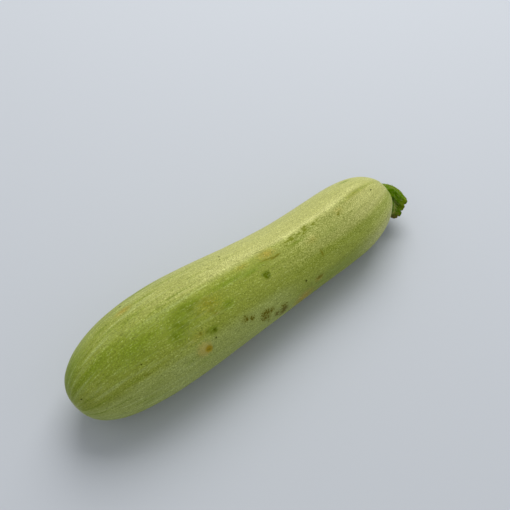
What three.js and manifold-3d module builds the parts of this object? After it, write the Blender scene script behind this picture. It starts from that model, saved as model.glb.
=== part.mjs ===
// A pale green courgette with its cut stem, lying on its side.
// Millimetres, +Z up, +X from the blossom end to the stem end. The fruit is one swept body: a round section
// whose radius follows the belly, the slimmer neck and the two rounded ends, carried along a gently curved
// centre line. Five soft ridges run down from the stem and fade towards the blossom end. The stem is a short
// ribbed stub that leaves the shoulder a little below its middle and bends down.
import * as THREE from 'three';
import { mergeVertices } from 'three/addons/utils/BufferGeometryUtils.js';
import Module from 'manifold-3d';

const wasm = await Module();
wasm.setup();

// Fruit: size and outline. Shares are of the length, counted from the blossom end.
const FRUIT_LENGTH = 212;
const BELLY_RADIUS = 27.6;
const NECK_RADIUS = 22.3;
const TAPER_START = 0.267;
const TAPER_END = 0.74;
const BLOSSOM_ROUNDING = 0.285; // share of the length taken by the rounded blossom end
const BLOSSOM_FULLNESS = 2.53; // exponent of the end's superellipse: 2 is round, more is blunter
const SHOULDER_ROUNDING = 0.188;
const SHOULDER_FULLNESS = 2.38;

// Fruit: centre line, as the sideways place and the height of four evenly spaced handles.
const SPINE_SIDEWAYS = [3.9, 7.4, -6.1, 1.5];
const SPINE_HEIGHT = [20.9, 37.6, 11.9, 25.9];

// Fruit: ridges
const RIDGE_COUNT = 5;
const RIDGE_HEIGHT = 0.023; // share of the radius
const RIDGE_ANGLE = THREE.MathUtils.degToRad(86.5); // of the uppermost ridge, from +Y towards up
const RIDGE_START = 0.25;
const RIDGE_FULL = 0.75;
const RIDGE_SECOND = 0.25; // weight of the second wave, which makes the crest narrower than the valley

// Fruit: the corky scar where the blossom was, as radius and height above the skin
const SCAR_PROFILE = [[0, 0.2], [1.5, 0.4], [2.9, 0.5], [3.7, 0.4], [4.2, 0], [4.7, -0.25], [5.4, 0]];

// Stem: a stub whose middle line starts deep in the fruit, before it is cut to the skin, and passes the
// skin at its second point. It is widest there, at its flared base.
const STEM_LINE = [[96.5, -1.5, 21.1], [103.9, -3, 18.5], [107.3, -5.1, 16.6], [111.4, -10, 13.1]];
const STEM_BASE_PLACE = 1 / 3; // share of the middle line
const STEM_ROOT_RADIUS = 9.4;
const STEM_BASE_RADIUS = 10.4;
const STEM_CUT_RADIUS = 7.4;
const STEM_RIB_HEIGHT = 0.085; // share of the radius
const STEM_RIB_ANGLE = THREE.MathUtils.degToRad(20);
const STEM_MINOR_RIBS = 15;
const STEM_MINOR_HEIGHT = 0.03;
const STEM_DISH = 1.1; // hollow in the middle of the cut face
const STEM_RAGGED = 0.7; // how far the ribs' cut ends stand out past the face
const SKIN_GAP = 0.3; // clearance between the stem's underside and the fruit

// Mesh: rows along each stretch of the fruit, and columns round it
const BLOSSOM_ROWS = 14;
const BARREL_ROWS = 24;
const SHOULDER_ROWS = 13;
const FRUIT_COLUMNS = 50;
const STEM_COLUMNS = 30;
const STEM_SIDE_ROWS = 10;
const STEM_FACE_ROWS = 4;

const UP = new THREE.Vector3(0, 0, 1);

// A point on a curve, with the curve's direction and two directions across it: sideways and upwards.
function frameAt(curve, along) {
  const centre = curve.getPoint(along);
  const forward = curve.getTangent(along);
  const side = new THREE.Vector3().crossVectors(UP, forward).normalize();
  const over = new THREE.Vector3().crossVectors(forward, side);
  return { centre, forward, side, over };
}

// Wraps a closed skin round rows of rings: the first and last row are single points.
// The rings are counted backwards round the axis, so that the faces point outwards.
function wrapSkin(rowCount, columnCount, placeAt) {
  const geometry = new THREE.SphereGeometry(1, columnCount, rowCount - 1);
  const places = geometry.attributes.position;
  for (let i = 0; i < places.count; i += 1) {
    const row = Math.floor(i / (columnCount + 1));
    const column = i % (columnCount + 1) % columnCount;
    const place = placeAt(row, -column / columnCount * 2 * Math.PI);
    places.setXYZ(i, place.x, place.y, place.z);
  }
  geometry.deleteAttribute('normal');
  geometry.deleteAttribute('uv');
  return mergeVertices(geometry, 1e-3);
}

function toSolid(geometry) {
  return new wasm.Manifold(new wasm.Mesh({
    numProp: 3,
    vertProperties: new Float32Array(geometry.attributes.position.array),
    triVerts: new Uint32Array(geometry.index.array),
  }));
}

function toGeometry(solid) {
  const mesh = solid.getMesh();
  const geometry = new THREE.BufferGeometry();
  geometry.setAttribute('position', new THREE.BufferAttribute(mesh.vertProperties, 3));
  geometry.setIndex(new THREE.BufferAttribute(mesh.triVerts, 1));
  return geometry;
}

// Fruit

const spine = new THREE.CubicBezierCurve3(
  new THREE.Vector3(-FRUIT_LENGTH / 2, SPINE_SIDEWAYS[0], SPINE_HEIGHT[0]),
  new THREE.Vector3(-FRUIT_LENGTH / 6, SPINE_SIDEWAYS[1], SPINE_HEIGHT[1]),
  new THREE.Vector3(FRUIT_LENGTH / 6, SPINE_SIDEWAYS[2], SPINE_HEIGHT[2]),
  new THREE.Vector3(FRUIT_LENGTH / 2, SPINE_SIDEWAYS[3], SPINE_HEIGHT[3]),
);

function taperedRadius(along) {
  const share = THREE.MathUtils.smoothstep(along, TAPER_START, TAPER_END);
  return THREE.MathUtils.lerp(BELLY_RADIUS, NECK_RADIUS, share);
}

// One quarter of a superellipse, turned by an angle from its pole (0) to its widest place (a right angle).
function roundedEnd(turn, fullness) {
  return {
    across: Math.sin(turn) ** (2 / fullness),
    depth: 1 - Math.cos(turn) ** (2 / fullness),
  };
}

// Rows of the fruit from the blossom pole to the stem pole: where along, how far out, how far past the skin.
function fruitRows() {
  const rows = [];
  const scarEdge = SCAR_PROFILE.at(-1)[0];
  for (const [radius, height] of SCAR_PROFILE) {
    const sunk = 1 - (1 - (radius / BELLY_RADIUS) ** BLOSSOM_FULLNESS) ** (1 / BLOSSOM_FULLNESS);
    rows.push({ along: BLOSSOM_ROUNDING * sunk, radius, height });
  }
  for (let i = 1; i < BLOSSOM_ROWS; i += 1) {
    const end = roundedEnd(i / BLOSSOM_ROWS * Math.PI / 2, BLOSSOM_FULLNESS);
    const radius = BELLY_RADIUS * end.across;
    if (radius > scarEdge + 1) rows.push({ along: BLOSSOM_ROUNDING * end.depth, radius, height: 0 });
  }
  for (let i = 0; i <= BARREL_ROWS; i += 1) {
    const along = THREE.MathUtils.lerp(BLOSSOM_ROUNDING, 1 - SHOULDER_ROUNDING, i / BARREL_ROWS);
    rows.push({ along, radius: taperedRadius(along), height: 0 });
  }
  for (let i = SHOULDER_ROWS - 1; i >= 0; i -= 1) {
    const end = roundedEnd(i / SHOULDER_ROWS * Math.PI / 2, SHOULDER_FULLNESS);
    const along = 1 - SHOULDER_ROUNDING * end.depth;
    rows.push({ along, radius: taperedRadius(along) * end.across, height: 0 });
  }
  return rows;
}

// Low waves round the section: crests at the ridges, growing from nothing to full height towards the stem.
function ridgeFactor(along, angle) {
  const growth = THREE.MathUtils.clamp((along - RIDGE_START) / (RIDGE_FULL - RIDGE_START), 0, 1);
  const turn = RIDGE_COUNT * (angle - RIDGE_ANGLE);
  const wave = Math.cos(turn) + RIDGE_SECOND * Math.cos(2 * turn);
  return 1 + RIDGE_HEIGHT * growth * wave;
}

// The skin of the fruit. What would reach below the floor is pressed flat: that is the resting face.
function fruitSkin() {
  const rows = fruitRows();
  return wrapSkin(rows.length, FRUIT_COLUMNS, (row, turn) => {
    const { along, radius, height } = rows[row];
    const { centre, forward, side, over } = frameAt(spine, along);
    const angle = RIDGE_ANGLE + turn;
    const reach = radius * ridgeFactor(along, angle);
    const place = centre.addScaledVector(side, reach * Math.cos(angle));
    place.addScaledVector(over, reach * Math.sin(angle));
    place.addScaledVector(forward, -height);
    place.z = Math.max(place.z, 0);
    return place;
  });
}

// The same skin moved outwards all over by a margin.
function grownSkin(margin) {
  const geometry = fruitSkin();
  geometry.computeVertexNormals();
  const places = geometry.attributes.position;
  const outward = new THREE.Vector3();
  const place = new THREE.Vector3();
  for (let i = 0; i < places.count; i += 1) {
    outward.fromBufferAttribute(geometry.attributes.normal, i);
    place.fromBufferAttribute(places, i).addScaledVector(outward, margin);
    places.setXYZ(i, place.x, place.y, place.z);
  }
  return geometry;
}

function makeFruit() {
  const skin = new THREE.MeshStandardMaterial({ color: 0xa9b368, roughness: 0.38, metalness: 0 });
  const fruit = new THREE.Mesh(fruitSkin(), skin);
  fruit.name = 'fruit';
  return fruit;
}

// Stem

const stemPoints = STEM_LINE.map(([x, y, z]) => new THREE.Vector3(x, y, z));
const stemLine = new THREE.CatmullRomCurve3(stemPoints, false, 'catmullrom', 0.5);

function stemRadius(along) {
  if (along < STEM_BASE_PLACE) {
    return THREE.MathUtils.lerp(STEM_ROOT_RADIUS, STEM_BASE_RADIUS, along / STEM_BASE_PLACE);
  }
  const share = (along - STEM_BASE_PLACE) / (1 - STEM_BASE_PLACE);
  return THREE.MathUtils.lerp(STEM_BASE_RADIUS, STEM_CUT_RADIUS, share);
}

// Five ribs run on from the fruit's ridges, with finer ones between them.
function stemRibs(angle) {
  const main = Math.cos(RIDGE_COUNT * (angle - STEM_RIB_ANGLE));
  const minor = Math.cos(STEM_MINOR_RIBS * (angle - STEM_RIB_ANGLE));
  return { main, minor };
}

function stemSkin() {
  const rowCount = STEM_SIDE_ROWS + STEM_FACE_ROWS + 2;
  return wrapSkin(rowCount, STEM_COLUMNS, (row, angle) => {
    const side = THREE.MathUtils.clamp((row - 1) / STEM_SIDE_ROWS, 0, 1);
    const frame = frameAt(stemLine, side);
    const face = Math.max(0, row - 1 - STEM_SIDE_ROWS) / STEM_FACE_ROWS;
    const { main, minor } = stemRibs(angle);
    const ribs = 1 + STEM_RIB_HEIGHT * main + STEM_MINOR_HEIGHT * minor;
    const radius = stemRadius(side) * ribs;
    const reach = row === 0 ? 0 : radius * (1 - face);
    const ragged = side < 1 ? 0 : STEM_RAGGED * minor * (1 - face) ** 2;
    const dish = STEM_DISH * (1 - (1 - face) ** 2);
    const place = frame.centre.addScaledVector(frame.side, reach * Math.cos(angle));
    place.addScaledVector(frame.over, reach * Math.sin(angle));
    return place.addScaledVector(frame.forward, ragged - dish);
  });
}

function makeStem() {
  const green = new THREE.MeshStandardMaterial({ color: 0x4f7014, roughness: 0.6, metalness: 0 });
  const whole = toSolid(stemSkin());
  const stem = new THREE.Mesh(toGeometry(whole.subtract(toSolid(grownSkin(SKIN_GAP)))), green);
  stem.name = 'stem';
  return stem;
}

// The finished courgette, moved sideways so that its origin is below the middle of its outer box.
const courgette = new THREE.Group();
courgette.add(makeFruit(), makeStem());
const box = new THREE.Box3().setFromObject(courgette, true);
const middle = box.getCenter(new THREE.Vector3());
courgette.position.set(-middle.x, -middle.y, -box.min.z);

export default courgette;
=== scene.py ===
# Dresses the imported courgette: its skin with its marks, its cut stem and the stem's hairs.
import math

import bpy
import numpy as np
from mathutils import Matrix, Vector, noise


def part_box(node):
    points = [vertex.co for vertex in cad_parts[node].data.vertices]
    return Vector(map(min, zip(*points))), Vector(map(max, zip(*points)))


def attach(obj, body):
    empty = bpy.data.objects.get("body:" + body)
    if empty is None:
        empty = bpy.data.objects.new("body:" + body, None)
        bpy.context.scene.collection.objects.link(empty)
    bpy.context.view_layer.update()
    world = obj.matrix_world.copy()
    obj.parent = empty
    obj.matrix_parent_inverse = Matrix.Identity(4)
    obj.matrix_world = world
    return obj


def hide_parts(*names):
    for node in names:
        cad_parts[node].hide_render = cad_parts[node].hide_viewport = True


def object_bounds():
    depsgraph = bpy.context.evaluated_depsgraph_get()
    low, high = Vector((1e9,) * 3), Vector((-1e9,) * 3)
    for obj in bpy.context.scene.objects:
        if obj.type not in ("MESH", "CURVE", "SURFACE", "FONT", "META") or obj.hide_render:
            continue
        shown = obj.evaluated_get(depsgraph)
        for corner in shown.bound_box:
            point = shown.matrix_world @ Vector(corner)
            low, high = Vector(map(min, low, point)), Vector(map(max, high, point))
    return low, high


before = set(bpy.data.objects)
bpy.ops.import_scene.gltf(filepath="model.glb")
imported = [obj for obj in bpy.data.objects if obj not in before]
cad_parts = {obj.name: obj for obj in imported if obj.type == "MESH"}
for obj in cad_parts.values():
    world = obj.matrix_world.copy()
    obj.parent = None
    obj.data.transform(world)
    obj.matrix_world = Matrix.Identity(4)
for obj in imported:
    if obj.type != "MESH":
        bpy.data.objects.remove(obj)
cad_low, cad_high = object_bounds()


# Camera ---------------------------------------------------------------------------------------------------
# A view from in front and well above, as one looks down at something that lies on a table. The blossom end
# comes towards the lower left and the stem end goes away to the upper right.

MM = 0.001  # in metres; sizes are given in millimetres until a mesh or a place is made of them
VIEW_ANGLE = math.radians(38)  # from edge to edge of the view
VIEW_HEADING = math.radians(40.07)  # of the view's ground direction, from +Y towards +X
VIEW_DROP = math.radians(57)  # below the horizontal
VIEW_DISTANCE = 414.4 * MM
VIEW_TARGET = Vector((13.1, 10.2, 23.8)) * MM
SENSOR_MM = 36
NEAREST_SHOWN = 10 * MM

view_direction = Vector((
    math.cos(VIEW_DROP) * math.sin(VIEW_HEADING),
    math.cos(VIEW_DROP) * math.cos(VIEW_HEADING),
    -math.sin(VIEW_DROP),
))
camera = bpy.data.objects.new("camera", bpy.data.cameras.new("camera"))
bpy.context.scene.collection.objects.link(camera)
camera.data.sensor_width = SENSOR_MM
camera.data.lens = SENSOR_MM / 2 / math.tan(VIEW_ANGLE / 2)
camera.data.clip_start = NEAREST_SHOWN
camera.location = VIEW_TARGET - view_direction * VIEW_DISTANCE
camera.rotation_euler = view_direction.to_track_quat("-Z", "Y").to_euler()
bpy.context.scene.camera = camera
bpy.context.scene.view_settings.view_transform = "Standard"


# Fruit ----------------------------------------------------------------------------------------------------
# One grown fruit: firm flesh in a thin living skin, fuller at the blossom end and slimmer at the neck, with
# five soft ridges that run down from the stem. The blossom left a round corky scar, raised in the middle.
# Growth and handling left shallow swells, dents, a scrape beside the top ridge and small corky marks.

FRUIT_LENGTH = 212
BELLY_RADIUS = 27.6
NECK_RADIUS = 22.3
TAPER = (0.267, 0.74)  # shares of the length between which the belly narrows to the neck
BLOSSOM_ROUNDING = 0.285  # share of the length that the round end takes
BLOSSOM_FULLNESS = 2.53  # 2 is an ellipse, and more is fuller
SHOULDER_ROUNDING = 0.188
SHOULDER_FULLNESS = 2.38
SPINE_SIDEWAYS = (3.9, 7.4, -6.1, 1.5)  # handles of the curve that the middle of the fruit follows
SPINE_HEIGHT = (20.9, 37.6, 11.9, 25.9)
RIDGE_COUNT = 5
RIDGE_HEIGHT = 0.023  # share of the radius
RIDGE_TURN = ((0, 98), (0.55, 97), (0.66, 87), (0.85, 83))  # share of the length, degrees: a slight twist
RIDGE_GROWTH = (0.25, 0.75)  # shares of the length between which the ridges rise
RIDGE_WAVES = (1, 0.25, 0.1)  # the round wave of a ridge and the finer ones that narrow it
# out from the middle of the scar, up from the round end
SCAR_PROFILE = ((0, 0), (1.5, 0.1), (2.9, 0.1), (3.7, 0), (4.2, -0.15), (4.7, -0.25), (5.4, 0))
FRUIT_COLUMNS = 300
SCAR_ROWS = 20
BLOSSOM_ROWS = 60
BARREL_ROWS = 160
SHOULDER_ROWS = 66
STEP = 1e-4  # share of a curve over which its direction is taken

INSET = 0.08  # keeps the swells of the skin inside the model's outer size
INSET_END = (0.5, 0.2)  # shares of the length: the round end is drawn in too, from the first to the second
SWELL_DEPTH = 0.45
SWELL_SIZE = (20, 20, 45)  # across, across and along the fruit, as all sizes of noise
DENT_DEPTH = 0.25
DENT_SIZE = (6, 6, 9)
DENT_SHIFT = 90  # a shift takes another part of the same noise
CRUMB_SIZE = (0.9, 0.9, 1.6)  # of skin that a scrape or cork has broken
CRUMB_SHIFT = 40
CALM_END = (4, 12)  # radii near both ends: the relief begins at the first and is whole at the second
POLE_EASE = 2  # radius up to which the inset eases in from each end
SCAR_ROUGHNESS = 0.6
SCAR_CORK_SIZE = 0.9
SCAR_CORK_EDGE = (4.4, 3.4)  # out from the middle: where its rough cork begins and where it is whole
SCAR_SHIFT = 7.0
# along, height: two broad swells and a hollow behind the top
BACK_FORMS = ((170, 0.9), (118, -0.45), (72, 0.4))
BACK_FORM_LENGTH = 24
BACK_FORM_TURN = (25, 45)  # degrees round: their middle and width
SKIN_RADIUS = 25  # of the cylinder on which the skin's patterns are laid out

# Each mark of the skin says where its middle is, in millimetres along the skin from the middle of the scar
# and in degrees round it, with 0 behind, 90 on top and 180 in front. Then come its length, its width and,
# where it isn't 1, its strength.
SCRAPES = (
    (149.8, 93, 9, 4.2), (153.4, 88.3, 6, 1.6), (157, 92.5, 8, 2.6, 0.7), (160.6, 89.3, 6, 3.6),
    (168, 91, 9, 2, 0.6),
)
CORKY_SPOT = (80.3, 154, 4.6, 4.4)
CORKY_HALO = (78.2, 151.5, 7.5, 6.5)
# marks, their reach, how much crumbs fray them, from where to where they sink in, how deep and how rough
BROKEN_SKIN = (
    (SCRAPES, 1.3, 0.6, 0.1, 0.5, 0.12, 0.08),
    ((CORKY_SPOT,), 1.2, 0.25, 0.1, 0.6, 0.2, 0.15),
)


def bezier(handles, along):
    """Point on a cubic curve, for one coordinate of its four handles."""
    a, b, c, d = handles
    back = 1 - along
    return a * back**3 + 3 * b * along * back**2 + 3 * c * along**2 * back + d * along**3


def unit(vectors):
    """The same directions, each with length 1."""
    return vectors / np.linalg.norm(vectors, axis=-1, keepdims=True)


def smooth(value, start, end):
    """0 up to the start and 1 from the end on, with a soft rise between. The end may be the lower one."""
    share = np.clip((value - start) / (end - start), 0, 1)
    return share * share * (3 - 2 * share)


def cross_frame(forward):
    """Directions sideways and upwards across a line that runs forwards."""
    side = unit(np.cross((0, 0, 1), forward))
    return side, np.cross(forward, side)


def tapered_radius(along):
    """Radius of the body without its round ends."""
    return BELLY_RADIUS + (NECK_RADIUS - BELLY_RADIUS) * smooth(along, *TAPER)


def fruit_rows():
    """Where along, how far out and how far past the end each row is, from the blossom to the stem."""
    scar_radius, scar_height = np.array(SCAR_PROFILE).T
    radius = np.linspace(0, scar_radius[-1], SCAR_ROWS)
    sunk = 1 - (1 - (radius / BELLY_RADIUS) ** BLOSSOM_FULLNESS) ** (1 / BLOSSOM_FULLNESS)
    scar = np.stack([BLOSSOM_ROUNDING * sunk, radius, np.interp(radius, scar_radius, scar_height)])
    edge = math.asin((scar_radius[-1] / BELLY_RADIUS) ** (BLOSSOM_FULLNESS / 2))
    turn = np.linspace(edge, math.pi / 2, BLOSSOM_ROWS + 1)[1:-1]
    along = BLOSSOM_ROUNDING * (1 - np.cos(turn) ** (2 / BLOSSOM_FULLNESS))
    blossom = np.stack([along, BELLY_RADIUS * np.sin(turn) ** (2 / BLOSSOM_FULLNESS), 0 * turn])
    along = np.linspace(BLOSSOM_ROUNDING, 1 - SHOULDER_ROUNDING, BARREL_ROWS + 1)
    barrel = np.stack([along, tapered_radius(along), 0 * along])
    turn = np.linspace(math.pi / 2, 0, SHOULDER_ROWS + 1)[1:]
    along = 1 - SHOULDER_ROUNDING * (1 - np.cos(turn) ** (2 / SHOULDER_FULLNESS))
    radius = tapered_radius(along) * np.sin(turn) ** (2 / SHOULDER_FULLNESS)
    shoulder = np.stack([along, radius, 0 * turn])
    return np.concatenate([scar, blossom, barrel, shoulder], axis=1)


def ridge_factor(along, angle):
    """What the five ridges make of the radius: more on a ridge, less between."""
    growth = np.clip((along - RIDGE_GROWTH[0]) / (RIDGE_GROWTH[1] - RIDGE_GROWTH[0]), 0, 1)
    turn = RIDGE_COUNT * (angle - np.radians(np.interp(along, *np.array(RIDGE_TURN).T)))
    wave = sum(height * np.cos((i + 1) * turn) for i, height in enumerate(RIDGE_WAVES))
    return 1 + RIDGE_HEIGHT * growth * wave


def on_skin(down, angle):
    """Place on the cylinder on which the skin is laid out flat: two numbers round it and one along it."""
    places = np.broadcast_arrays(SKIN_RADIUS * np.cos(angle), SKIN_RADIUS * np.sin(angle), down)
    return np.stack(places, axis=-1)


def hump(turn, middle, width):
    """1 at one angle round, falling away to both sides, in degrees."""
    return np.exp(-(((turn - middle + 180) % 360 - 180) / width) ** 2)


def noise_on(places, size):
    """Smooth noise of about -1 to 1, whose swells are of the given sizes along the places' three axes."""
    values = [noise.noise(Vector(place)) for place in (places / np.array(size)).reshape(-1, 3)]
    return np.array(values).reshape(places.shape[:-1])


def nearness(places, marks, reach=1.0):
    """How near each place is to the nearest mark: its strength at its middle, 0 at its edge times the reach
    and less than 0 outside."""
    nearest = np.full(places.shape[:-1], -1.0)
    for down, turn, length, width, *strength in marks:
        offset = places - on_skin(down, math.radians(turn))
        distance = np.hypot(np.hypot(offset[..., 0], offset[..., 1]) / width, offset[..., 2] / length)
        share = 1 - 2 * distance / reach
        nearest = np.maximum(nearest, np.where(share > 0, share * (strength or [1])[0], share))
    return nearest


along, radius, past = (row[:, None] for row in fruit_rows())
angle = np.linspace(0, 2 * math.pi, FRUIT_COLUMNS, endpoint=False)[None, :]
handles_x = FRUIT_LENGTH * np.array([-1 / 2, -1 / 6, 1 / 6, 1 / 2])
spine_handles = (handles_x, SPINE_SIDEWAYS, SPINE_HEIGHT)
centre = np.concatenate([bezier(handles, along) for handles in spine_handles], axis=1)
ahead = np.concatenate([bezier(handles, along + STEP) for handles in spine_handles], axis=1)
behind = np.concatenate([bezier(handles, along - STEP) for handles in spine_handles], axis=1)
forward = unit(ahead - behind)
side, over = cross_frame(forward)
row_steps = np.hypot(np.diff(radius[:, 0]), FRUIT_LENGTH * np.diff(along[:, 0]))
down = np.concatenate([[0], np.cumsum(row_steps)])[:, None]
laid_out = on_skin(down, angle)

relief = np.zeros(laid_out.shape[:2])
relief -= SWELL_DEPTH * (0.5 + 0.5 * noise_on(laid_out, SWELL_SIZE))
relief -= DENT_DEPTH * np.clip(noise_on(laid_out + DENT_SHIFT, DENT_SIZE), 0, 1)
crumbs = noise_on(laid_out + CRUMB_SHIFT, CRUMB_SIZE)
for marks, mark_reach, fray, start, end, depth, roughness in BROKEN_SKIN:
    broken = smooth(nearness(laid_out, marks, mark_reach) + fray * crumbs, start, end)
    relief -= broken * (depth + roughness * crumbs)
relief = relief * smooth(radius, *CALM_END) - INSET
back = sum(height * np.exp(-((down - middle) / BACK_FORM_LENGTH) ** 2) for middle, height in BACK_FORMS)
relief = np.minimum(relief, 0) * smooth(radius, 0, POLE_EASE)
relief += back * hump(np.degrees(angle), *BACK_FORM_TURN)
reach = np.maximum(radius * ridge_factor(along, angle) + relief, 0)

scar_places = np.broadcast_arrays(radius * np.cos(angle), radius * np.sin(angle), SCAR_SHIFT)
scar_places = np.stack(scar_places, axis=-1)
scar_crumbs = noise_on(scar_places, (SCAR_CORK_SIZE,) * 3)
scar_relief = SCAR_ROUGHNESS * scar_crumbs * smooth(radius, *SCAR_CORK_EDGE)
sunk = INSET * smooth(along, *INSET_END) + np.clip(scar_relief, 0, 1)
across = np.cos(angle)[..., None] * side[:, None] + np.sin(angle)[..., None] * over[:, None]
skin = centre[:, None] + reach[..., None] * across - (past - sunk)[..., None] * forward[:, None]
skin[..., 2] = np.maximum(skin[..., 2], 0)  # it lies on a flattened strip
fruit_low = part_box("fruit")[0]


def wrap_mesh(name, rings):
    """A closed skin through rows of rings, whose first and last row are single points, with its UV map."""
    rows, columns = rings.shape[:2]
    mesh = bpy.data.meshes.new(name)
    faces = []
    spread = []
    for row in range(rows - 1):
        v0, v1 = row / (rows - 1), (row + 1) / (rows - 1)
        near = 1 + (row - 1) * columns
        far = 1 + row * columns
        for column in range(columns):
            following = (column + 1) % columns
            u0, u1 = column / columns, (column + 1) / columns
            if row == 0:
                faces.append((0, far + following, far + column))
                spread += [((u0 + u1) / 2, v0), (u1, v1), (u0, v1)]
            elif row == rows - 2:
                faces.append((near + column, near + following, far))
                spread += [(u0, v0), (u1, v0), ((u0 + u1) / 2, v1)]
            else:
                faces.append((near + column, near + following, far + following, far + column))
                spread += [(u0, v0), (u1, v0), (u1, v1), (u0, v1)]
    mesh.from_pydata(ring_points(rings).tolist(), [], faces)
    mesh.uv_layers.new(name="OFBake").data.foreach_set("uv", np.array(spread).ravel())
    mesh.shade_smooth()
    return mesh


def ring_points(rings):
    """What belongs to each point of a wrapped mesh, in their order, with one point for each end."""
    return np.concatenate([rings[:1, 0], rings[1:-1].reshape(-1, 3), rings[-1:, 0]])


def keep_numbers(mesh, name, *fields):
    """Stores up to three numbers for each point of a wrapped mesh."""
    fields = list(fields) + [np.zeros(fields[0].shape)] * (3 - len(fields))
    values = ring_points(np.stack(np.broadcast_arrays(*fields), axis=-1))
    mesh.attributes.new(name, "FLOAT_VECTOR", "POINT").data.foreach_set("vector", values.ravel())


def linear(colour):
    """A colour written as sRGB hex, as the linear numbers that the shaders use."""
    parts = [int(colour[i:i + 2], 16) / 255 for i in (1, 3, 5)]
    return [part / 12.92 if part <= 0.04045 else ((part + 0.055) / 1.055) ** 2.4 for part in parts] + [1]


def add(tree, kind, inputs=None, output=0, **settings):
    """Adds a node and returns one of its outputs. Inputs give a socket a value or link it to an output."""
    node = tree.nodes.new("ShaderNode" + kind)
    for name, value in settings.items():
        setattr(node, name, value)
    for socket, value in (inputs or {}).items():
        if isinstance(value, bpy.types.NodeSocket):
            tree.links.new(value, node.inputs[socket])
        else:
            node.inputs[socket].default_value = value
    return node.outputs[output] if node.outputs else None


def kept_numbers(tree, name):
    """The three numbers that keep_numbers stored under a name."""
    stored = add(tree, "Attribute", output="Vector", attribute_name=name)
    first = add(tree, "SeparateXYZ", {0: stored})
    return first.node.outputs


def grown_patterns(tree, place, patterns):
    """Uneven fields of about -0.3 to 0.3, each from the three sizes of its swells in millimetres and the
    number of finer swells laid over them."""
    fields = []
    for *sizes, detail in patterns:
        scaled = add(tree, "VectorMath", {0: place, 1: [1 / size for size in sizes]}, operation="MULTIPLY")
        swells = add(tree, "TexNoise", {"Vector": scaled, "Scale": 1, "Detail": detail, "Roughness": 0.6})
        fields.append(add(tree, "Math", {0: swells, 1: 0.5}, operation="SUBTRACT"))
    return fields


def lay_coats(tree, colour, coats):
    """Lays tones over a colour. Each has the field on which it lies, what frays its edge and by how much,
    from where to where on the field it thickens, its strength at most and its colour."""
    for field, fray, amount, start, end, strength, tone in coats:
        frayed = add(tree, "Math", {0: fray, 1: amount, 2: field}, operation="MULTIPLY_ADD")
        limits = {0: frayed, 1: start, 2: end, 4: strength}
        cover = add(tree, "MapRange", limits, interpolation_type="SMOOTHSTEP")
        colour = add(tree, "Mix", {0: cover, 6: colour, 7: linear(tone)}, 2, data_type="RGBA")
    return colour


SIDE_GREEN = "#8e993a"
YELLOW_GREEN = "#b4b56b"
REFLECTED_GREY_GREEN = "#a2ad60"
LEAF_GREEN = "#708612"
PALE_GREEN = "#aab873"
DEEP_GREEN = "#5a6a00"
# pale streaks, and painted sheen and light
CREAM_AND_SHEEN = "#d6d68c"
FLECK = "#ccd494"
TAN = "#a88c2c"
BROWN = "#706e0a"
FRECKLE = "#645f00"
MOTTLE = "#6a7b14"
SPECK = "#3c4000"
SCRAPE = "#6c7600"
CORK = "#a08b0c"
CORK_RIM = "#bfab58"
SCAR_HALO = "#b8bd86"
SCAR_RING = "#4a2f14"
SCAR_CORK = "#b48a60"
SCAR_BITS = "#54341a"
SHEEN = "#fff29a"  # of the reflections: wax and cell walls let the colour of the flesh into them
# along the skin, degrees round: the lower border of the paler side and of its painted light
BORDER = (
    (0, 85), (70, 90), (80, 92.5), (100, 91), (126, 89.5), (142, 88), (163, 86), (178, 89), (193, 86),
    (240, 82),
)
BORDER_FADE = (6, -8)  # degrees from the border: where the paler side begins and where it is whole
PALER_BEHIND = (-20, 15)  # degrees round, behind the top, where it begins and is whole
PALER_LEAST = 0.2  # how ripe and how lit it is at the blossom end, before the two rises along the fruit
PALER_RISE = 0.72
PALER_RISE_ALONG = (20, 140)
PALER_LAST_RISE = 0.08
PALER_LAST_ALONG = (100, 140)
NECK_PAINTED_LIGHT = 0.85  # painted light: the neck is lit paler in front of the top too
NECK_ALONG = (85, 215)
NECK_IN_FRONT = (140, 120)  # degrees round
NECK_BEHIND = (30, 80)
FLOOR_SIDE_TURN = 132  # degrees round, from which painted floor light makes the floor side greyer and paler
FLOOR_SIDE_CLIMB = 14  # degrees by which it climbs at the neck
FLOOR_SIDE_CLIMB_ALONG = (150, 195)
FLOOR_SIDE_FADE = 22
FLOOR_SIDE_END = (300, 230)
FLOOR_SIDE_LOSS = 0.7  # share of it that is missing towards the neck
FLOOR_SIDE_LOSS_ALONG = (122, 145)
MOTTLING = 0.6  # of the neck's front, below the top ridge
MOTTLED_FROM = (130, 150)
MOTTLED_TO = (205, 185)
MOTTLED_BEHIND = (84, 96)  # degrees round
MOTTLED_IN_FRONT = (150, 130)
STREAK_LOSS = 0.65  # towards the neck, where the clouds and streaks are fainter
STREAK_LOSS_ALONG = (60, 115)
HALF_WAY = 0.5  # share of the length: beyond it, no place is near the scar
PATCH_REACH = 1.5  # how far out each kind of mark fades, in sizes of the mark
LINE_REACH = 2.5
FRECKLE_REACH = 1.4
SPECK_REACH = 2.6
CORK_REACH = 2
HALO_REACH = 1.6
SCRAPE_REACH = 1.6
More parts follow.
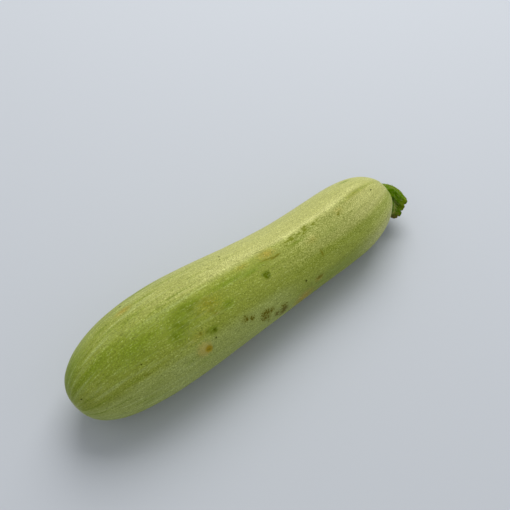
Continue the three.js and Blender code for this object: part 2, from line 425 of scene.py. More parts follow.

# tones and marks of the seen side, given as the scrapes are
# greener patches; painted shade: the one low at the neck (163, 174) and behind the shoulder (206.5, 50)
GREEN_AND_SHADE_PATCHES = (
    (81, 101, 20, 5), (104, 101, 30, 3.5), (73, 113, 10, 9), (70, 120, 11, 10), (31, 94, 44, 12, 0.7),
    (86, 137, 7, 4), (206.5, 50, 9, 3.4, 1.1), (20, 62, 26, 26), (163, 174, 60, 14, 0.6), (152, 100, 14, 2),
    (201, 88.5, 36, 3.4, 0.85), (118, 104, 12, 3), (99, 122, 8, 6), (163, 94, 26, 2.5, 0.4),
    (91, 111, 18, 9, 0.7), (50, 108, 36, 16, 0.8), (76, 107, 26, 13, 0.85), (172, 112, 24, 7, 0.3),
    (126, 101, 16, 4, 0.6),
)
DEEP_PATCHES = (
    (125.6, 116.8, 3.6, 3.8, 1.6), (123.6, 114.4, 3, 2.2, 0.8), (79.5, 102, 13, 4, 0.2),
    (73, 116, 12, 10, 0.2), (78.8, 101, 4, 3, 0.5), (81.2, 105, 5, 3.2, 0.5), (83, 103, 4, 2.4, 0.46),
    (85.4, 102.6, 5, 2.4, 0.46), (89.5, 105, 6, 2, 0.36), (73.2, 104, 4, 3, 0.44),
    (75.6, 103, 3.4, 2.4, 0.38), (72.2, 112.5, 4.4, 4, 0.52), (73.8, 116, 5, 4, 0.5),
    (76.4, 118, 4, 3, 0.42), (72.8, 120, 3.4, 3, 0.42), (68.8, 121, 5, 3.4, 0.42), (83, 115, 3, 2.4, 0.34),
    (81, 117.5, 3.4, 2.4, 0.3), (77.8, 112.6, 3, 2.4, 0.36), (83, 135.5, 2.6, 1.6, 0.55),
    (84.5, 139, 1.8, 1.6, 0.6), (87, 138.6, 3, 2.2, 1), (85.5, 147, 1.6, 1.6, 0.5),
)
# pale streaks with painted sheen along the top ridge; (211, 172) low at the neck is painted floor light
CREAM_AND_SHEEN_PATCHES = (
    (149, 84.3, 24, 5, 0.9), (166, 82.5, 30, 3.5), (108, 84, 34, 2.5, 0.5), (184, 83, 26, 6, 0.9),
    (202, 79, 18, 4, 0.7), (208, 104, 34, 16, 0.25), (126, 80, 24, 4, 0.6), (158, 103, 18, 6, 0.5),
    (82, 81.5, 24, 8, 0.2), (112, 77, 34, 4, 0.5), (211, 172, 44, 24, 1.1), (211.6, 128, 7, 1, 0.8),
    (206.8, 118, 5, 1.2, 0.75), (213, 118, 6, 0.9, 0.7), (215, 92, 6, 1, 0.7), (203.5, 121, 3, 1, 0.7),
    (192, 118, 2.4, 1.2, 0.6), (209, 106, 6, 1, 0.55), (217, 132, 8, 1, 0.6), (205, 135, 6, 0.9, 0.55),
    (150, 70, 34, 1.3, 0.5), (176, 66, 26, 1.1, 0.45), (190, 73, 22, 1.1, 0.5), (128, 72, 30, 1.3, 0.5),
    (104, 69, 30, 1.3, 0.45), (160, 58, 24, 1.1, 0.4), (138, 62, 20, 1, 0.4), (198, 62, 16, 1, 0.4),
)
TAN_PATCHES = (
    (132, 93.5, 11, 6.5, 0.74), (91, 111, 17, 9, 0.4), (78, 134, 12, 5, 0.3), (160, 108, 9, 5, 0.5),
    (57, 60, 8, 4, 0.8), (143.5, 182, 14, 12), (184.5, 95.5, 8, 5, 0.45), (116, 93, 9, 3, 0.5),
    (154, 163, 6, 4, 0.8), (200, 89, 30, 5, 0.35),
)
BROWN_LINES = (
    (128.6, 99.6, 5, 0.6, 0.7), (131.8, 100.6, 4.5, 0.8, 0.8), (135, 102.6, 4, 1.1),
    (137.4, 101.6, 3, 0.8, 0.9), (183, 99.8, 1.6, 1.2, 0.95), (184.4, 98, 1.8, 0.8, 0.85),
    (161, 131, 1.2, 4.6, 0.8), (154.5, 161, 3.6, 1.8), (79.6, 133, 1.4, 1.4, 0.8),
    (92.2, 112, 2.4, 2, 0.58), (90, 119.5, 3, 2.2, 0.56), (89, 109.5, 2.2, 1.8, 0.5),
    (91.4, 124, 3.2, 1.6, 0.56), (95.2, 122.5, 2.8, 1.8, 0.5),
)
FRECKLE_PATCHES = (
    (104.3, 149, 6, 4.4), (108, 153.5, 3.6, 4), (116.5, 162, 7.5, 7.5, 1.15), (120.5, 160, 4, 3.6),
    (123.5, 172, 4.4, 5.5, 0.9), (128.3, 174, 6, 10, 1.2), (99, 171, 3, 3, 0.6), (48, 138, 4, 2, 0.7),
    (118, 173, 2, 6, 0.7),
)
SPECKS = (
    (125.9, 117, 1.6, 1.6, 0.68), (212, 100.5, 1.5, 1.3), (111.8, 60, 1.3, 1), (110.6, 66.5, 1, 0.8),
    (65, 143, 1, 0.9), (49, 125, 1.1, 1), (16.5, 112, 1.4, 1.4), (145.5, 153, 1.4, 1.3),
    (119, 134, 1.5, 0.8, 0.8), (125, 131, 1, 0.8, 0.8), (127.6, 113, 1, 0.9, 0.9),
    (162, 128.5, 1, 1.3, 0.75), (160.5, 133, 1.1, 1.1, 0.75), (164, 117, 1, 1, 0.75),
    (184, 110.5, 1.6, 1.4, 0.75), (166.5, 92.5, 1, 0.9, 0.7), (169.2, 93, 0.9, 0.8, 0.7),
    (178.5, 94, 1.4, 1, 0.7), (177.5, 136, 1.2, 1.1, 0.7), (188.8, 92, 2.4, 0.8, 0.7), (57.5, 47, 1.8, 1.2),
    (86.8, 138.2, 1.4, 1, 0.8), (86, 147, 1.1, 0.9), (122, 127, 0.8, 0.8, 0.8), (46.5, 136, 0.9, 0.8, 0.9),
    (151.8, 168, 1, 2.4, 0.75), (152, 181, 1.4, 3, 0.75), (137.7, 156.5, 1, 0.8, 0.75),
    (149.5, 154, 0.9, 0.8, 0.75), (142, 131, 0.8, 0.7, 0.75),
)

# the skin is greener round the foot of the stem, with a painted shadow line where the two meet: its middle,
# which way it leaves, its radius and its ribs
STEM_SEAT = np.array((103.9, -3, 18.5))
STEM_WAY = np.array((0.80, -0.22, -0.4))
STEM_SEAT_DEPTH = 4  # skin that lies further back than this is farther from the stem too
STEM_BASE_RADIUS = 10.4
STEM_RIB_HEIGHT = 0.085
STEM_RIB_ANGLE = math.radians(20)

HIDDEN_START = (25, 205)  # along, degrees round: the side that lies down or turns away
HIDDEN_END = (205, 390)
STREWN_SIZES = (0.6, 1.4)  # shares of the usual size

rng = np.random.default_rng(11)


def strewn(count, length, width):
    """Marks of about the given size, strewn at random over the side that lies down or turns away."""
    places = rng.uniform(HIDDEN_START, HIDDEN_END, (count, 2))
    sizes = rng.uniform(*STREWN_SIZES, (count, 1)) * (length, width)
    return tuple(map(tuple, np.concatenate([places, sizes], axis=1)))


turn = (np.degrees(angle) + 90) % 360 - 90 + 0 * down
border = np.interp(down, *np.array(BORDER).T)
# the paler side: partly the skin's own ripening, partly painted light that grows towards the neck
upper = smooth(turn, border + BORDER_FADE[0], border + BORDER_FADE[1]) * smooth(turn, *PALER_BEHIND)
rise = PALER_RISE * smooth(down, *PALER_RISE_ALONG)
last_rise = PALER_LAST_RISE * smooth(down, *PALER_LAST_ALONG)
upper = upper * (PALER_LEAST + rise + last_rise)
# painted light on the front of the neck
neck = NECK_PAINTED_LIGHT * smooth(down, *NECK_ALONG) * smooth(turn, *NECK_IN_FRONT) * smooth(turn, *NECK_BEHIND)
lit_and_paler = np.maximum(upper, neck)
# painted light and reflection from the floor, on the side towards it
paling = FLOOR_SIDE_TURN - FLOOR_SIDE_CLIMB * smooth(down, *FLOOR_SIDE_CLIMB_ALONG)
floor_reflection = smooth(turn, paling, paling + FLOOR_SIDE_FADE) * smooth(turn, *FLOOR_SIDE_END)
floor_reflection = floor_reflection * (1 - FLOOR_SIDE_LOSS * smooth(down, *FLOOR_SIDE_LOSS_ALONG))
# greener patches and two of painted shade
green = nearness(laid_out, GREEN_AND_SHADE_PATCHES + strewn(count=9, length=22, width=7), PATCH_REACH)
deep = nearness(laid_out, DEEP_PATCHES + strewn(count=5, length=4, width=3), PATCH_REACH)
# pale streaks with painted sheen, highlight and floor light
cream_and_sheen = nearness(laid_out, CREAM_AND_SHEEN_PATCHES + strewn(count=4, length=24, width=4), PATCH_REACH)
tan = nearness(laid_out, TAN_PATCHES + strewn(count=5, length=10, width=6), PATCH_REACH)
brown = nearness(laid_out, BROWN_LINES + strewn(count=4, length=7, width=1.2), LINE_REACH)
freckled = nearness(laid_out, FRECKLE_PATCHES + strewn(count=7, length=5.5, width=4.5), FRECKLE_REACH)
specks = nearness(laid_out, SPECKS + strewn(count=14, length=1.3, width=1.1), SPECK_REACH)
cork_near = nearness(laid_out, (CORKY_SPOT,), CORK_REACH)
halo_near = nearness(laid_out, (CORKY_HALO,), HALO_REACH)
scrape_near = nearness(laid_out, SCRAPES, SCRAPE_REACH)
mottled = MOTTLING * smooth(down, *MOTTLED_FROM) * smooth(down, *MOTTLED_TO)
mottled = mottled * smooth(turn, *MOTTLED_BEHIND) * smooth(turn, *MOTTLED_IN_FRONT)
from_scar = np.where(along < HALF_WAY, radius, FRUIT_LENGTH) + 0 * angle
streaky = 1 - STREAK_LOSS * smooth(down, *STREAK_LOSS_ALONG) + 0 * angle
from_seat = skin - STEM_SEAT
seat_out = unit(STEM_WAY)
seat_side, seat_over = cross_frame(seat_out)
seat_across = np.stack([from_seat @ seat_side, from_seat @ seat_over], axis=-1)
seat_angle = np.arctan2(seat_across[..., 1], seat_across[..., 0])
seat_ribs = 1 + STEM_RIB_HEIGHT * np.cos(RIDGE_COUNT * (seat_angle - STEM_RIB_ANGLE))
from_stem = np.hypot(*np.moveaxis(seat_across, -1, 0)) - STEM_BASE_RADIUS * seat_ribs
from_stem += np.clip(-STEM_SEAT_DEPTH - from_seat @ seat_out, 0, None)

# sets the skin's lowest x and y just inside the solid's
shift = np.array((
    fruit_low[0] / MM + INSET - skin[..., 0].min(),
    fruit_low[1] / MM + INSET - skin[..., 1].min(),
    0,
))
fruit_mesh = wrap_mesh("fruit_skin", (skin + shift) * MM)
keep_numbers(fruit_mesh, "laid_out_mm", *np.moveaxis(laid_out, -1, 0))
keep_numbers(fruit_mesh, "tones", lit_and_paler, floor_reflection, green)
keep_numbers(fruit_mesh, "marks", tan, freckled, specks)
keep_numbers(fruit_mesh, "streaks", deep, cream_and_sheen, brown)
keep_numbers(fruit_mesh, "scars", cork_near, scrape_near, from_scar)
keep_numbers(fruit_mesh, "spread", halo_near, streaky, from_stem)
keep_numbers(fruit_mesh, "mottle", mottled)
keep_numbers(fruit_mesh, "scar_mm", *np.moveaxis(scar_places, -1, 0))

# Courgette skin is living leaf-green tissue that grew under a thin natural wax: a satin sheen over a colour
# that is never even. The upper side ripened paler and yellower, up to a border along the ridge, and painted
# light lies over it, growing towards the neck and ending where the light falls off below the ridge. Growth
# drew out the pale flecks that cover it all, and small corky marks and scuffs lie on it.
skin_material = bpy.data.materials.new("waxy courgette skin")
skin_material.use_nodes = True
tree = skin_material.node_tree
tree.nodes.clear()
place = add(tree, "Attribute", output="Vector", attribute_name="laid_out_mm")
lit_and_paler_share, floor_reflection_share, green_and_shade_share = kept_numbers(tree, "tones")
tan_share, freckle_share, speck_share = kept_numbers(tree, "marks")
deep_share, cream_and_sheen_share, brown_share = kept_numbers(tree, "streaks")
cork_share, scrape_share, scar_distance = kept_numbers(tree, "scars")
halo_share, streaky_share, stem_distance = kept_numbers(tree, "spread")
mottle_share = kept_numbers(tree, "mottle")[0]
# three sizes in millimetres and the number of finer swells
SKIN_PATTERNS = (
    (7, 7, 16, 3),  # clouds of ripening
    (3.4, 3.4, 36, 2),  # bands between the vessels that run along under the skin
    (1.7, 1.7, 20, 3),  # streaks over them
    (0.7, 0.7, 7, 2),  # threads between them
    (0.6, 0.6, 1.7, 1),  # flecks, stretched by growth
    (0.6, 0.6, 0.6, 1),  # pores, in truth 0.1 mm apart and drawn coarser to show
    (1.1, 1.1, 3, 2),  # tears of a scrape
)
clouds, bands, streaks, threads, flecks, pores, tears = grown_patterns(tree, place, SKIN_PATTERNS)
scar_place = add(tree, "Attribute", output="Vector", attribute_name="scar_mm")
CORK_PATTERNS = (
    (0.6, 0.6, 0.6, 2),  # crumbs of cork, in truth 0.2 mm across and drawn coarser to show
    (2.2, 2.2, 2.2, 2),  # lumps of them
)
cork_bits, cork_lumps = grown_patterns(tree, scar_place, CORK_PATTERNS)
faded = []
for pattern in (clouds, bands, streaks):
    faded.append(add(tree, "Math", {0: pattern, 1: streaky_share}, operation="MULTIPLY"))
clouds, bands, streaks = faded
CLOUD_DRIFT = 0.6  # how much the clouds move the border of the paler side
drift = add(tree, "Math", {0: clouds, 1: CLOUD_DRIFT, 2: streaks}, operation="MULTIPLY_ADD")
ragged = add(tree, "Math", {0: streaks, 1: pores}, operation="ADD")
DOTS_PER_MM = 0.95  # freckles stand about a millimetre apart
DOT_SPREAD = 2.4  # the higher, the smaller the freckles
dots = {"Vector": place, "Scale": DOTS_PER_MM}
dot_distance = add(tree, "TexVoronoi", dots, "Distance")
dot_chance = add(tree, "SeparateColor", {0: dot_distance.node.outputs["Color"]})
scatter = add(tree, "Math", {0: dot_distance, 1: DOT_SPREAD, 2: dot_chance}, operation="MULTIPLY_ADD")
# the field of each coat, what frays it, how much, from where to where it thickens, its strength, its tone
colour = lay_coats(tree, linear(SIDE_GREEN), (
    # the paler side, partly painted light
    (lit_and_paler_share, drift, 0.8, 0, 1, 1, YELLOW_GREEN),
    # painted floor light and reflection
    (floor_reflection_share, drift, 0, 0, 1, 0.7, REFLECTED_GREY_GREEN),
    (clouds, pores, 0.4, 0.03, 0.3, 0.35, LEAF_GREEN),
    (clouds, pores, 0.4, -0.03, -0.3, 0.3, PALE_GREEN),
    # greener patches, two of them painted shade
    (green_and_shade_share, ragged, 1, 0, 1, 0.75, LEAF_GREEN),
    (bands, streaks, 0.8, 0, -0.3, 0.5, LEAF_GREEN),
    (bands, streaks, 0.8, 0, 0.3, 0.35, PALE_GREEN),
    (deep_share, ragged, 1, 0, 0.7, 0.95, DEEP_GREEN),
    (tan_share, ragged, 0.8, 0, 1, 0.7, TAN),
    # pale streaks with painted sheen, highlight and floor light
    (cream_and_sheen_share, ragged, 1, 0, 1, 0.6, CREAM_AND_SHEEN),
    (brown_share, ragged, 1, 0.25, 0.7, 0.85, BROWN),
    (flecks, threads, 0.8, 0.08, 0.35, 0.2, FLECK),
    (pores, flecks, 0.4, 0.08, 0.35, 0.2, FLECK),
))
shade = 1  # each pattern also darkens and lightens the skin a little
for pattern, depth in ((streaks, 0.2), (threads, 0.3), (flecks, 0.3), (pores, 1.3)):
    shade = add(tree, "Math", {0: pattern, 1: depth, 2: shade}, operation="MULTIPLY_ADD")
colour = add(tree, "Mix", {0: 1, 6: colour, 7: shade}, 2, data_type="RGBA", blend_type="MULTIPLY")
colour = lay_coats(tree, colour, (
    (mottle_share, pores, -3, 0.3, 1.1, 0.55, MOTTLE),
    (freckle_share, ragged, 0.5, 0, 0.9, 0.55, BROWN),
    (freckle_share, scatter, -0.5, -0.32, -0.08, 0.98, FRECKLE),
    (speck_share, pores, 0, 0.5, 0.72, 0.9, SPECK),
    (scrape_share, tears, 3, 0.25, 0.85, 0.8, SCRAPE),
    (halo_share, pores, 1, 0, 0.7, 0.6, CORK_RIM),
    (cork_share, pores, 0.5, 0.4, 0.75, 0.9, CORK),
    (cork_share, tears, 2.5, 0.75, 1.2, 0.6, BROWN),
    (stem_distance, ragged, 5, 4.5, 0.5, 0.6, LEAF_GREEN),
    # painted shadow where the stem meets the skin
    (stem_distance, pores, 0.8, 0.9, 0.2, 0.7, DEEP_GREEN),
    (scar_distance, threads, 9, 11, 4.5, 0.65, SCAR_HALO),
    (scar_distance, cork_bits, 2, 5.4, 4.6, 0.95, SCAR_RING),
    (scar_distance, cork_bits, 1.6, 4.2, 3.5, 0.95, SCAR_CORK),
    (scar_distance, cork_bits, 12, 2.6, 1, 0.6, SCAR_BITS),
    (scar_distance, cork_lumps, 8, 2.2, 1.4, 0.8, SCAR_BITS),
))

PORE_DEPTH = 0.4 * MM
height = add(tree, "Math", {0: threads, 1: 1, 2: pores}, operation="MULTIPLY_ADD")
bump = add(tree, "Bump", {"Height": height, "Strength": 0.2, "Distance": PORE_DEPTH})
shader = add(tree, "BsdfPrincipled", {
    "Base Color": colour,
    "Roughness": 0.46,
    "IOR": 1.45,
    "Specular IOR Level": 0.14,
    "Specular Tint": linear(SHEEN),
    "Normal": bump,
})
add(tree, "OutputMaterial", {"Surface": shader})


def add_piece(name, mesh, material, slot, *nodes):
    """Puts a piece on the fruit's one body, in its material, for the nodes that it stands for."""
    piece = bpy.data.objects.new(name, mesh)
    bpy.context.scene.collection.objects.link(piece)
    mesh.materials.append(material)
    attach(piece, "root")
    if nodes:
        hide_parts(*nodes)


add_piece("fruit_skin", fruit_mesh, skin_material, "skin", "fruit")


# Stem -----------------------------------------------------------------------------------------------------
# The stub of the fruit's own stalk, cut off a finger's width above the fruit: tough and five-ribbed, with
# finer ribs between, and wider where it grows out of the shoulder. Its cut edge has dried ragged and brown
# at its lower side.

# root, seat, bend and cut
STEM_LINE = ((96.5, -1.5, 21.1), STEM_SEAT, (107.3, -5.1, 16.6), (111.4, -10, 13.1))
STEM_BASE_PLACE = 1 / 3  # share of the line at which it leaves the fruit
STEM_ROOT_RADIUS = 9.4
STEM_CUT_RADIUS = 7.4
STEM_MINOR_RIBS = 15
STEM_MINOR_HEIGHT = 0.03  # share of the radius
STEM_MINOR_MIDDLE = 0.3
STEM_COLUMNS = 240
STEM_SIDE_ROWS = 70
STEM_FACE_ROWS = 24
STEM_INSET = 0.1  # keeps its unevenness inside the model's outer size
# its uneven forms: height, middle and width in degrees round, from where to where along it they grow
STEM_SWELL = (1.3, 42, 48, 0.3, 0.7)  # the fleshy upper side
STEM_LIP = (0.5, 72, 22, 0.8, 1)
STEM_SHRINK = (-1.4, 240, 22, 0.6, 1)
STEM_TIP = (0.9, 203, 14, 0.85, 1)  # the dried end of a rib hangs down
STEM_SWELL_LOSS = 0.6
STEM_CUT_END = (0.85, 1)  # shares of the stem: what belongs to the cut begins and is whole
STEM_FLARE = 0.2
STEM_FLARE_END = (0.5, 0.33)
STEM_LAID_RADIUS = 7  # of the cylinder on which its patterns are laid out
STEM_LAID_LENGTH = 14
FIBRE_SIZE = (0.9, 0.9, 4)
LUMP_SIZE = (2.5, 2.5, 3)
LUMP_SHIFT = 30
STEM_SUNK = 0.15
FIBRE_DEPTH = 0.15
LUMP_DEPTH = 0.2
STEM_LOBES = 9  # of the ragged rim
LOBE_UNEVENNESS = 0.7
LOBE_DEPTH = 1.4
LOBE_NARROWNESS = 3  # of the notches between the lobes
RIM_NARROWNESS = 6
STEM_RAGGED = 0.35
RAGGED_LUMPS = 0.7
STEM_DISH = 1.1
VESSEL_RING = (0.4, 0.1)  # its middle and width, as shares of the way from the rim to the middle
VESSEL_NARROWNESS = 4
VESSEL_HEIGHT = 0.2
# angles as a middle and a width in degrees round, and shares of the stem between which each grows or ends
DRIED_TURN = (202, 42)
DRIED_ALONG = (0.5, 0.95)
DRIED_RIM = 0.45
DRIED_RIM_ALONG = (0.93, 1)
DOWNY_TURN = (160, 30)
DOWNY_FROM = (0.42, 0.62)
DOWNY_TO = (0.92, 0.72)
OLIVE_TURN = (38, 34)
OLIVE_LIP = 1.15
OLIVE_LIP_TURN = (102, 40)
OLIVE_LIP_ALONG = (0.72, 0.98)


def through(points, along):
    """Point on a smooth curve through the given points, for shares of its whole."""
    points = np.array(points, float)
    points = np.concatenate([[2 * points[0] - points[1]], points, [2 * points[-1] - points[-2]]])
    spans = len(points) - 3
    span = np.minimum((along * spans).astype(int), spans - 1)
    share = (along * spans - span)[:, None]
    before, start, end, after = (points[span + i] for i in range(4))
    leave, arrive = (end - before) / 2, (after - start) / 2
    bend = 3 * (end - start) - 2 * leave - arrive
    return start + leave * share + bend * share**2 + (2 * (start - end) + leave + arrive) * share**3


row = np.arange(STEM_SIDE_ROWS + STEM_FACE_ROWS + 2)
stem_along = np.clip((row - 1) / STEM_SIDE_ROWS, 0, 1)
face = np.maximum(0, row - 1 - STEM_SIDE_ROWS) / STEM_FACE_ROWS
stem_centre = through(STEM_LINE, stem_along)
stem_forward = unit(through(STEM_LINE, stem_along + STEP) - through(STEM_LINE, stem_along - STEP))
stem_side, stem_over = cross_frame(stem_forward)
stem_radius = np.interp(
    stem_along, (0, STEM_BASE_PLACE, 1), (STEM_ROOT_RADIUS, STEM_BASE_RADIUS, STEM_CUT_RADIUS))
stem_angle = np.linspace(0, 2 * math.pi, STEM_COLUMNS, endpoint=False)[None, :]
main_rib = np.cos(RIDGE_COUNT * (stem_angle - STEM_RIB_ANGLE))
minor_rib = np.cos(STEM_MINOR_RIBS * (stem_angle - STEM_RIB_ANGLE))
ribs = 1 + STEM_RIB_HEIGHT * main_rib + STEM_MINOR_HEIGHT * (minor_rib - STEM_MINOR_MIDDLE)
rim_share = 1 - face[:, None]
laid_radius = STEM_LAID_RADIUS * rim_share
stem_down = STEM_LAID_LENGTH * stem_along[:, None]
around = np.broadcast_arrays(laid_radius * np.cos(stem_angle), laid_radius * np.sin(stem_angle), stem_down)
around = np.stack(around, axis=-1)
fibre = noise_on(around, FIBRE_SIZE)
lumps = noise_on(around + LUMP_SHIFT, LUMP_SIZE)

stem_turn = np.degrees(stem_angle)
up = stem_along[:, None]


def grown_form(height, middle, width, start, end):
    """One uneven form of the stem: a hump round it that grows along it to its full height."""
    return height * hump(stem_turn, middle, width) * smooth(up, start, end)


forms = grown_form(*STEM_SWELL) * (1 - STEM_SWELL_LOSS * smooth(up, *STEM_CUT_END))
forms = forms + grown_form(*STEM_LIP) + grown_form(*STEM_SHRINK) + grown_form(*STEM_TIP)
flared = (0.5 + 0.5 * main_rib) * smooth(up, *STEM_FLARE_END)
stem_reach = stem_radius[:, None] * ribs * rim_share - STEM_INSET
stem_reach += forms * rim_share
stem_reach += STEM_FLARE * flared
stem_reach -= (STEM_SUNK + FIBRE_DEPTH * fibre + LUMP_DEPTH * lumps) * rim_share
stem_reach = np.where(row[:, None] == 0, 0, np.maximum(stem_reach, 0))
lobe = np.abs(np.cos(STEM_LOBES / 2 * stem_angle + LOBE_UNEVENNESS * np.sin(2 * stem_angle + 1)))
notch = LOBE_DEPTH * (1 - lobe) ** LOBE_NARROWNESS
ragged_edge = STEM_RAGGED - notch - RAGGED_LUMPS * np.clip(lumps, 0, 1)
near_cut = smooth(up, *STEM_CUT_END) * rim_share**RIM_NARROWNESS
on_face = face[:, None] > 0
vessel_ring = np.exp(-((face[:, None] - VESSEL_RING[0]) / VESSEL_RING[1]) ** 2)
vessels = vessel_ring * main_rib**VESSEL_NARROWNESS
dish = (STEM_DISH * (1 - (1 - face) ** 2))[:, None]
dish = dish - FIBRE_DEPTH * fibre * on_face - VESSEL_HEIGHT * vessels
lift = ragged_edge * near_cut - dish * on_face
stem_across = np.cos(stem_angle)[..., None] * stem_side[:, None]
stem_across = stem_across + np.sin(stem_angle)[..., None] * stem_over[:, None]
stem_skin = stem_centre[:, None] + stem_reach[..., None] * stem_across
stem_skin = stem_skin + lift[..., None] * stem_forward[:, None]
stem_mesh = wrap_mesh("stem_stub", (stem_skin + shift) * MM)

flat_rows = 0 * stem_reach
dried_rim = DRIED_RIM * smooth(up, *DRIED_RIM_ALONG)
dried = np.maximum(hump(stem_turn, *DRIED_TURN) * smooth(up, *DRIED_ALONG), dried_rim)
downy = hump(stem_turn, *DOWNY_TURN) * smooth(up, *DOWNY_FROM) * smooth(up, *DOWNY_TO)
olive_lip = OLIVE_LIP * hump(stem_turn, *OLIVE_LIP_TURN) * smooth(up, *OLIVE_LIP_ALONG)
olive = np.maximum(hump(stem_turn, *OLIVE_TURN), olive_lip)
keep_numbers(stem_mesh, "laid_out_mm", *np.moveaxis(around, -1, 0))
keep_numbers(stem_mesh, "tones", ribs + flat_rows, dried + flat_rows, face[:, None] + flat_rows)
keep_numbers(stem_mesh, "patches", downy + flat_rows, olive + flat_rows, vessels)

STEM_GREEN = "#4f7200"
STEM_DEEP = "#2c4c00"
STEM_OLIVE = "#718410"
STEM_DOWN = "#a0a552"
STEM_BROWN = "#6e6226"
CUT_FLESH = "#a3a864"
CUT_VESSELS = "#66742c"
CUT_PITH = "#bdb98e"
CUT_HOLLOW = "#857a4a"

# A courgette stalk is tough and green, ribbed by the strands in it and rough with the roots of its hairs:
# dark, streaked and nearly matt. Where it was cut it dried pale and dull, and brown along its lower edge.
stem_material = bpy.data.materials.new("ribbed green stalk")
stem_material.use_nodes = True
tree = stem_material.node_tree
tree.nodes.clear()
place = add(tree, "Attribute", output="Vector", attribute_name="laid_out_mm")
rib_height, dried_share, face_share = kept_numbers(tree, "tones")
downy_share, olive_share, vessel_share = kept_numbers(tree, "patches")
STEM_PATTERNS = (
    (0.7, 0.7, 5, 3),  # strands of fibre
    (0.8, 0.8, 1.1, 2),  # roots of the hairs, in truth 0.2 mm across and drawn coarser to show
)
strands, roots = grown_patterns(tree, place, STEM_PATTERNS)
colour = lay_coats(tree, linear(STEM_GREEN), (
    # painted shade: darker in the grooves between the ribs
    (rib_height, strands, 0.2, 1.0, 0.9, 0.8, STEM_DEEP),
    (olive_share, strands, 1.5, 0, 1, 0.8, STEM_OLIVE),
    (strands, roots, 0.5, 0, 0.3, 0.5, STEM_OLIVE),
    (roots, roots, 0, 0, -0.25, 0.6, STEM_DEEP),
    (downy_share, roots, 1.6, 0.05, 1.0, 0.75, STEM_DOWN),
    (dried_share, roots, 2, 0.2, 0.75, 0.9, STEM_BROWN),
    (face_share, roots, 0.1, 0.0, 0.12, 0.95, CUT_FLESH),
    (vessel_share, roots, 0.8, 0.2, 0.8, 0.8, CUT_VESSELS),
    (face_share, roots, 0.5, 0.6, 0.75, 0.8, CUT_PITH),
    (face_share, roots, 0.5, 0.86, 0.95, 0.7, CUT_HOLLOW),
))
STRAND_DEPTH = 0.6 * MM
shader = add(tree, "BsdfPrincipled", {
    "Base Color": colour,
    "Roughness": 0.75,
    "IOR": 1.4,
    "Specular IOR Level": 0.08,
    "Specular Tint": linear(SHEEN),
    "Normal": add(tree, "Bump", {"Height": strands, "Strength": 0.5, "Distance": STRAND_DEPTH}),
})
add(tree, "OutputMaterial", {"Surface": shader})
add_piece("stem_stub", stem_mesh, stem_material, "stem", "stem")


# Hairs of the stem ----------------------------------------------------------------------------------------
# Courgette stalks carry short stiff hairs, each a row of clear cells grown out of the skin. They stand
# nearly straight out all over it, and show as a pale bloom and a faint fringe.

HAIR_COUNT = 1300
HAIR_LENGTH = (0.4, 1.1)
HAIR_RADIUS = 0.05
HAIR_SIDES = 3
HAIR_LEAN = 0.5
HAIR_SUNK = 0.2  # depth to which its root goes into the skin
HAIR_ROOM = 0.05  # kept free at the end of the model's outer size
HAIR_ROWS = (12, STEM_SIDE_ROWS - 2)  # of the stem's mesh, between which they grow
HAIR_TURN = (0.3, 0.5, 0.81)  # any fixed direction, from which a hair's corners are set out
HAIR_CELLS = 40  # cells each way on the hairs' UV map
CELL_BASE = 0.1  # a cell has the root in its lowest tenth, and the three sides beside each other above it
CELL_TOP = 0.9
CELL_SIDE = 0.3

side_rows = slice(HAIR_ROWS[0] - 1, HAIR_ROWS[1] + 1)
side_skin = stem_skin[side_rows]
round_skin = np.roll(side_skin, -1, 1) - np.roll(side_skin, 1, 1)
out_of_skin = unit(np.cross(round_skin, np.gradient(side_skin, axis=0)))
hair_rng = np.random.default_rng(5)
hair_row = hair_rng.integers(1, len(side_skin) - 1, HAIR_COUNT)
hair_column = hair_rng.integers(0, STEM_COLUMNS, HAIR_COUNT)
hair_root = side_skin[hair_row, hair_column]
hair_way = unit(out_of_skin[hair_row, hair_column] + HAIR_LEAN * hair_rng.uniform(-1, 1, (HAIR_COUNT, 3)))
hair_length = hair_rng.uniform(*HAIR_LENGTH, (HAIR_COUNT, 1))
room = cad_high[0] / MM - HAIR_ROOM - shift[0] - hair_root[:, :1]
longest = np.where(hair_way[:, :1] > 0, room / np.abs(hair_way[:, :1]), hair_length)
hair_length = np.minimum(hair_length, longest)
hair_side = unit(np.cross(hair_way, HAIR_TURN))
hair_over = np.cross(hair_way, hair_side)
corners = []
for corner in range(HAIR_SIDES):
    turn = 2 * math.pi * corner / HAIR_SIDES
    outward = math.cos(turn) * hair_side + math.sin(turn) * hair_over
    corners.append(hair_root - HAIR_SUNK * hair_way + HAIR_RADIUS * outward)
corners.append(hair_root + hair_length * hair_way)
hair_points = (np.stack(corners, axis=1).reshape(-1, 3) + shift) * MM
hair_faces = []
hair_spread = []
for i in range(HAIR_COUNT):
    first = (HAIR_SIDES + 1) * i
    tip = first + HAIR_SIDES
    cell = np.array((i % HAIR_CELLS, i // HAIR_CELLS))
    hair_faces.append((first, first + 2, first + 1))
    outline = ((0, 0), (CELL_TOP, 0), (CELL_TOP / 2, CELL_BASE))
    hair_spread += [(cell + point) / HAIR_CELLS for point in outline]
    for corner in range(HAIR_SIDES):
        hair_faces.append((first + corner, first + (corner + 1) % HAIR_SIDES, tip))
        left = CELL_SIDE * corner
        outline = ((left, CELL_BASE), (left + CELL_SIDE, CELL_BASE), (left + CELL_SIDE / 2, CELL_TOP))
        hair_spread += [(cell + point) / HAIR_CELLS for point in outline]
hair_mesh = bpy.data.meshes.new("stem_hairs")
hair_mesh.from_pydata(hair_points.tolist(), [], hair_faces)
hair_mesh.uv_layers.new(name="OFBake").data.foreach_set("uv", np.array(hair_spread).ravel())
hair_tips = np.tile((0.0, 0.0, 0.0, 1.0), HAIR_COUNT)
hair_mesh.attributes.new("tip", "FLOAT", "POINT").data.foreach_set("value", hair_tips)

HAIR_ROOT = "#6f8424"
HAIR_TIP = "#bcc680"

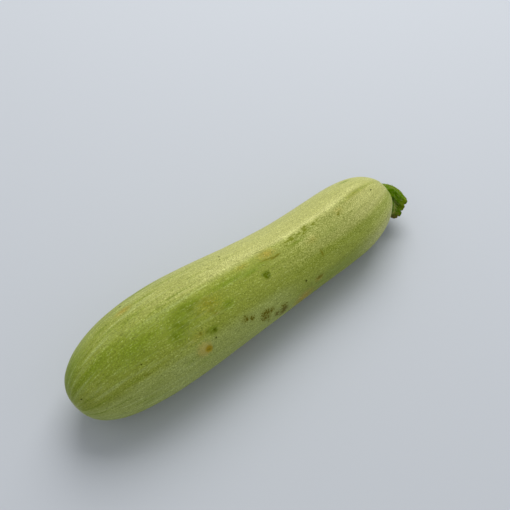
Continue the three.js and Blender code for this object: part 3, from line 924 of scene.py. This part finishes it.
# A plant hair is a row of hollow clear cells with a smooth wall: a little glossy, green from the skin at
# its root and pale towards its tip.
hair_material = bpy.data.materials.new("clear plant hair")
hair_material.use_nodes = True
tree = hair_material.node_tree
tree.nodes.clear()
tip_share = add(tree, "Attribute", output="Fac", attribute_name="tip")
colour = add(tree, "Mix", {0: tip_share, 6: linear(HAIR_ROOT), 7: linear(HAIR_TIP)}, 2, data_type="RGBA")
shader = add(tree, "BsdfPrincipled", {"Base Color": colour, "Roughness": 0.4, "IOR": 1.45})
add(tree, "OutputMaterial", {"Surface": shader})
add_piece("stem_hairs", hair_mesh, hair_material, "stem")


# Floor and light ------------------------------------------------------------------------------------------
# A plain sheet of white paper lies under the fruit, far wider than the view. One large soft light stands
# behind it and above, and a weak even light comes from all round.

FLOOR_REACH = 12  # metres, as the light's distance and size
PAPER_WHITE = "#c6cacf"

floor_mesh = bpy.data.meshes.new("floor")
floor_mesh.from_pydata(
    [(-FLOOR_REACH, -FLOOR_REACH, 0), (FLOOR_REACH, -FLOOR_REACH, 0),
     (FLOOR_REACH, FLOOR_REACH, 0), (-FLOOR_REACH, FLOOR_REACH, 0)],
    [],
    [(0, 1, 2, 3)],
)
floor = bpy.data.objects.new("floor", floor_mesh)
bpy.context.scene.collection.objects.link(floor)
# Uncoated paper, pressed from bleached fibre: even, pale and matt, with no reflection of the fruit in it.
paper = bpy.data.materials.new("matt white paper")
paper.use_nodes = True
tree = paper.node_tree
tree.nodes.clear()
shader = add(tree, "BsdfPrincipled", {"Base Color": linear(PAPER_WHITE), "Roughness": 0.9})
add(tree, "OutputMaterial", {"Surface": shader})
floor_mesh.materials.append(paper)

LIGHT_DIRECTION = Vector((0.45, 0.38, 0.81))
LIGHT_DISTANCE = 1.2
LIGHT_SIZE = 0.9
LIGHT_POWER = 11  # watts
EVEN_LIGHT = "#f0f3f8"
EVEN_STRENGTH = 0.52

softbox = bpy.data.objects.new("softbox", bpy.data.lights.new("softbox", "AREA"))
bpy.context.scene.collection.objects.link(softbox)
softbox.data.shape = "SQUARE"
softbox.data.size = LIGHT_SIZE
softbox.data.energy = LIGHT_POWER
softbox.location = LIGHT_DIRECTION * LIGHT_DISTANCE
softbox.rotation_euler = LIGHT_DIRECTION.to_track_quat("Z", "Y").to_euler()
softbox.visible_camera = False

world = bpy.data.worlds.new("even light")
bpy.context.scene.world = world
world.use_nodes = True
background = world.node_tree.nodes["Background"]
background.inputs["Color"].default_value = linear(EVEN_LIGHT)
background.inputs["Strength"].default_value = EVEN_STRENGTH
